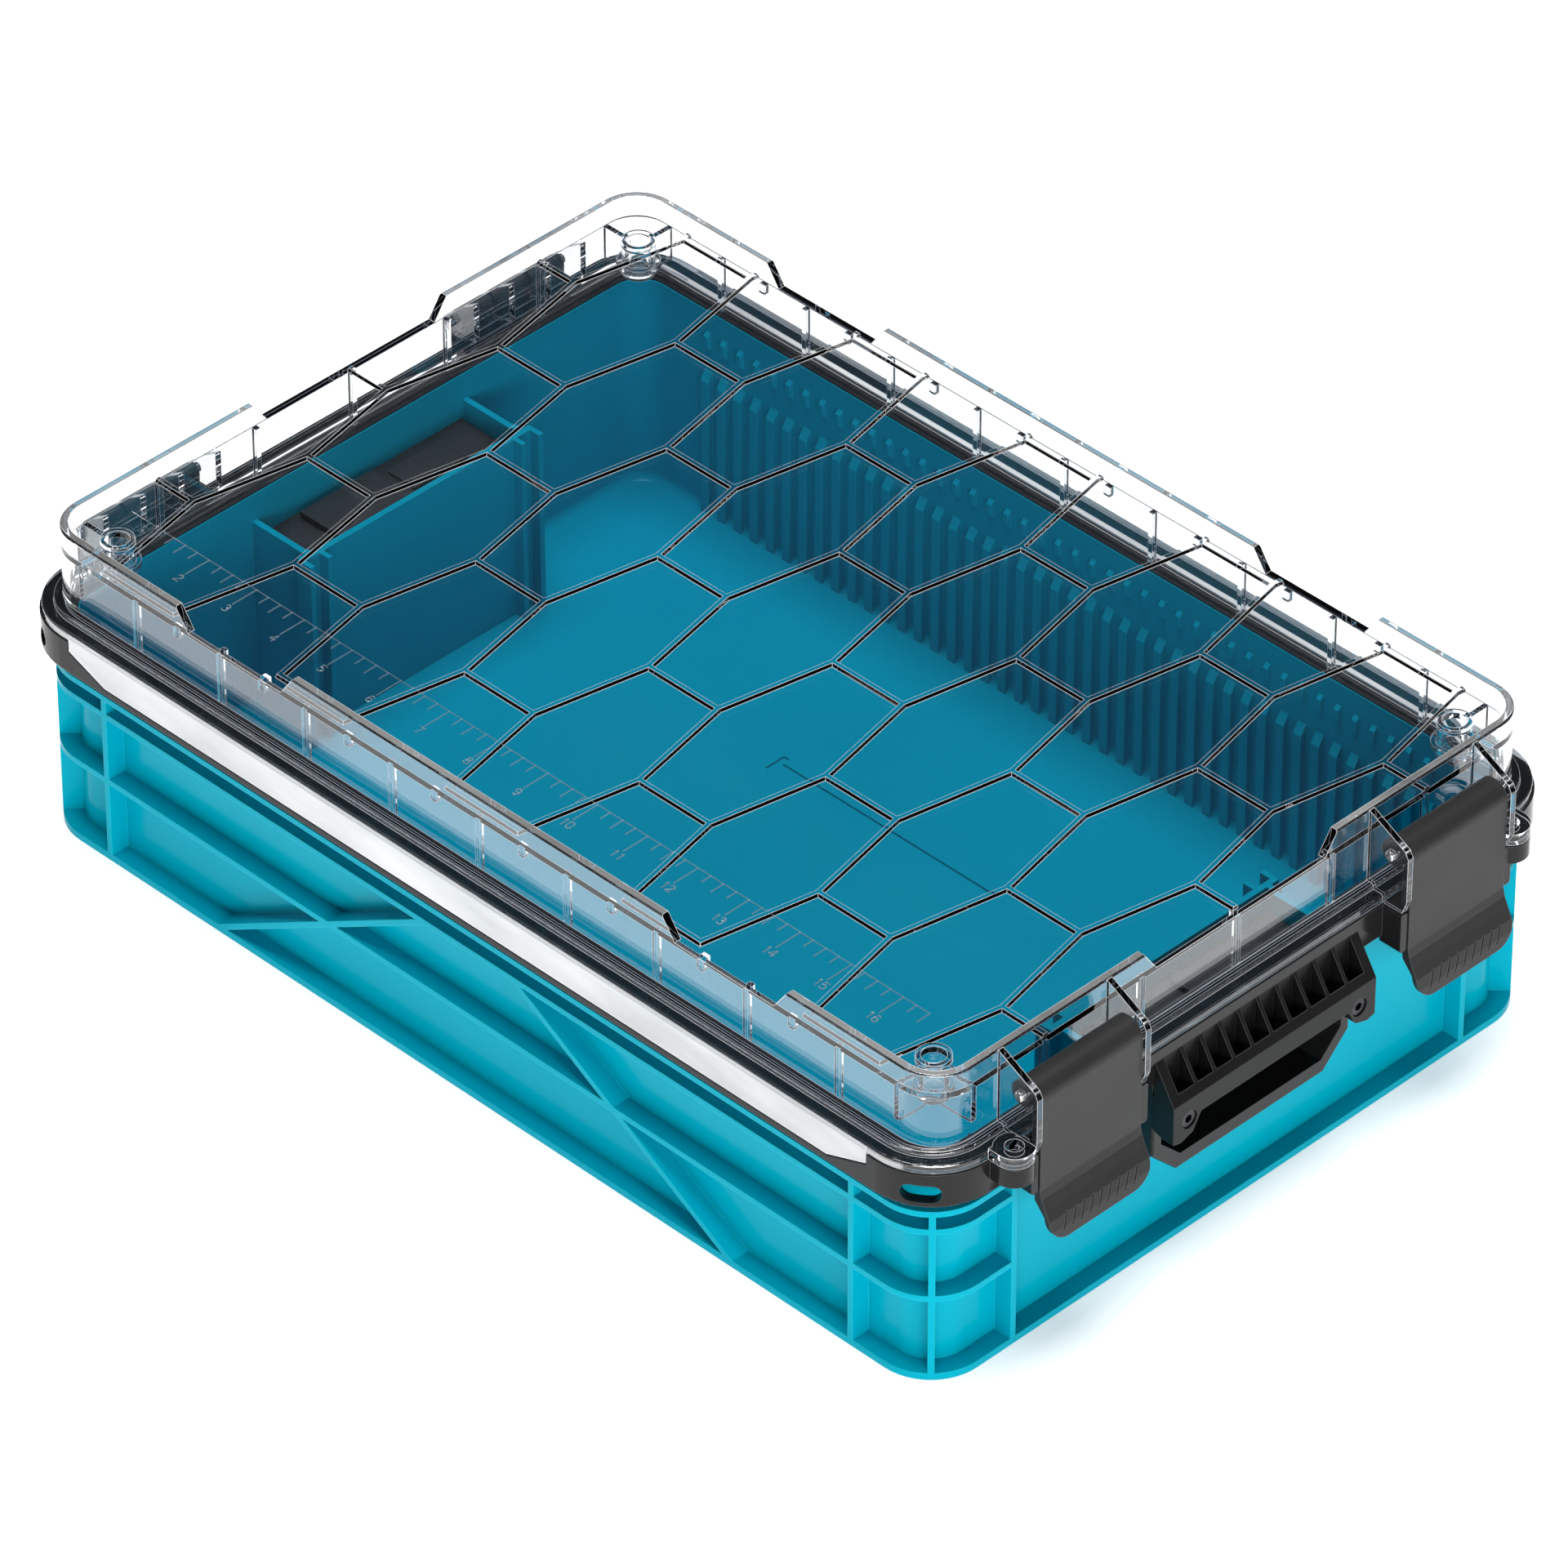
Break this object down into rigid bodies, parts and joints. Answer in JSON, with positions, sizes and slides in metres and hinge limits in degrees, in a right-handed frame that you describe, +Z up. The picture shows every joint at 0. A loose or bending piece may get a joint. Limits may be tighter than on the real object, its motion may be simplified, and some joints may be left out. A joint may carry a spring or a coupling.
{
  "type": "fishing tackle box",
  "caption": "Shallow ribbed storage tub with a hinged clear lid on a rubber seal, over-centre front latches, end carrying grips and divider slots inside.",
  "frame": {"origin": "centre of the flat underside of the tub", "axes": "+Z up out of the tub, +Y along the long sides towards the hinges, -Y towards the latches, +X to the right seen from the latches"},
  "size_m": [0.325, 0.5012, 0.135],
  "materials": {
    "tub_plastic": "satin moulded polypropylene",
    "black_plastic": "satin moulded nylon",
    "grip_plastic": "matte moulded nylon",
    "latch_plastic": "fine matte texture",
    "clear_plastic": "polished clear polycarbonate",
    "gasket_rubber": "smooth",
    "steel": "polished stainless rod",
    "black_steel": "black oxide",
    "brass": "machined"
  },
  "bodies": {
    "base": {"tub": "tub_plastic", "collar": "black_plastic", "gasket": "gasket_rubber", "front_grip": "grip_plastic", "front_grip_screws": "black_steel", "front_grip_inserts": "brass", "front_pocket_liner": "black_plastic", "rear_grip": "grip_plastic", "rear_grip_screws": "black_steel", "rear_grip_inserts": "brass", "rear_pocket_liner": "black_plastic", "left_hinge_leaf": "black_plastic", "left_hinge_screws": "black_steel", "left_hinge_pin": "steel", "right_hinge_leaf": "black_plastic", "right_hinge_screws": "black_steel", "right_hinge_pin": "steel"},
    "lid": {"lid": "clear_plastic", "left_latch_pin": "steel", "right_latch_pin": "steel"},
    "left_latch": {"left_latch": "latch_plastic"},
    "right_latch": {"right_latch": "latch_plastic"}
  },
  "joints": [
    {"name": "lid_hinge", "type": "hinge", "parent": "base", "child": "lid", "pos_m": [0, 0.2425, 0.106], "axis": [-1, 0, 0], "range_deg": [0, 115]},
    {"name": "left_latch_turn", "type": "hinge", "parent": "lid", "child": "left_latch", "pos_m": [-0.094, -0.24, 0.1205], "axis": [-1, 0, 0], "range_deg": [0, 110]},
    {"name": "right_latch_turn", "type": "hinge", "parent": "lid", "child": "right_latch", "pos_m": [0.094, -0.24, 0.1205], "axis": [-1, 0, 0], "range_deg": [0, 110]}
  ]
}
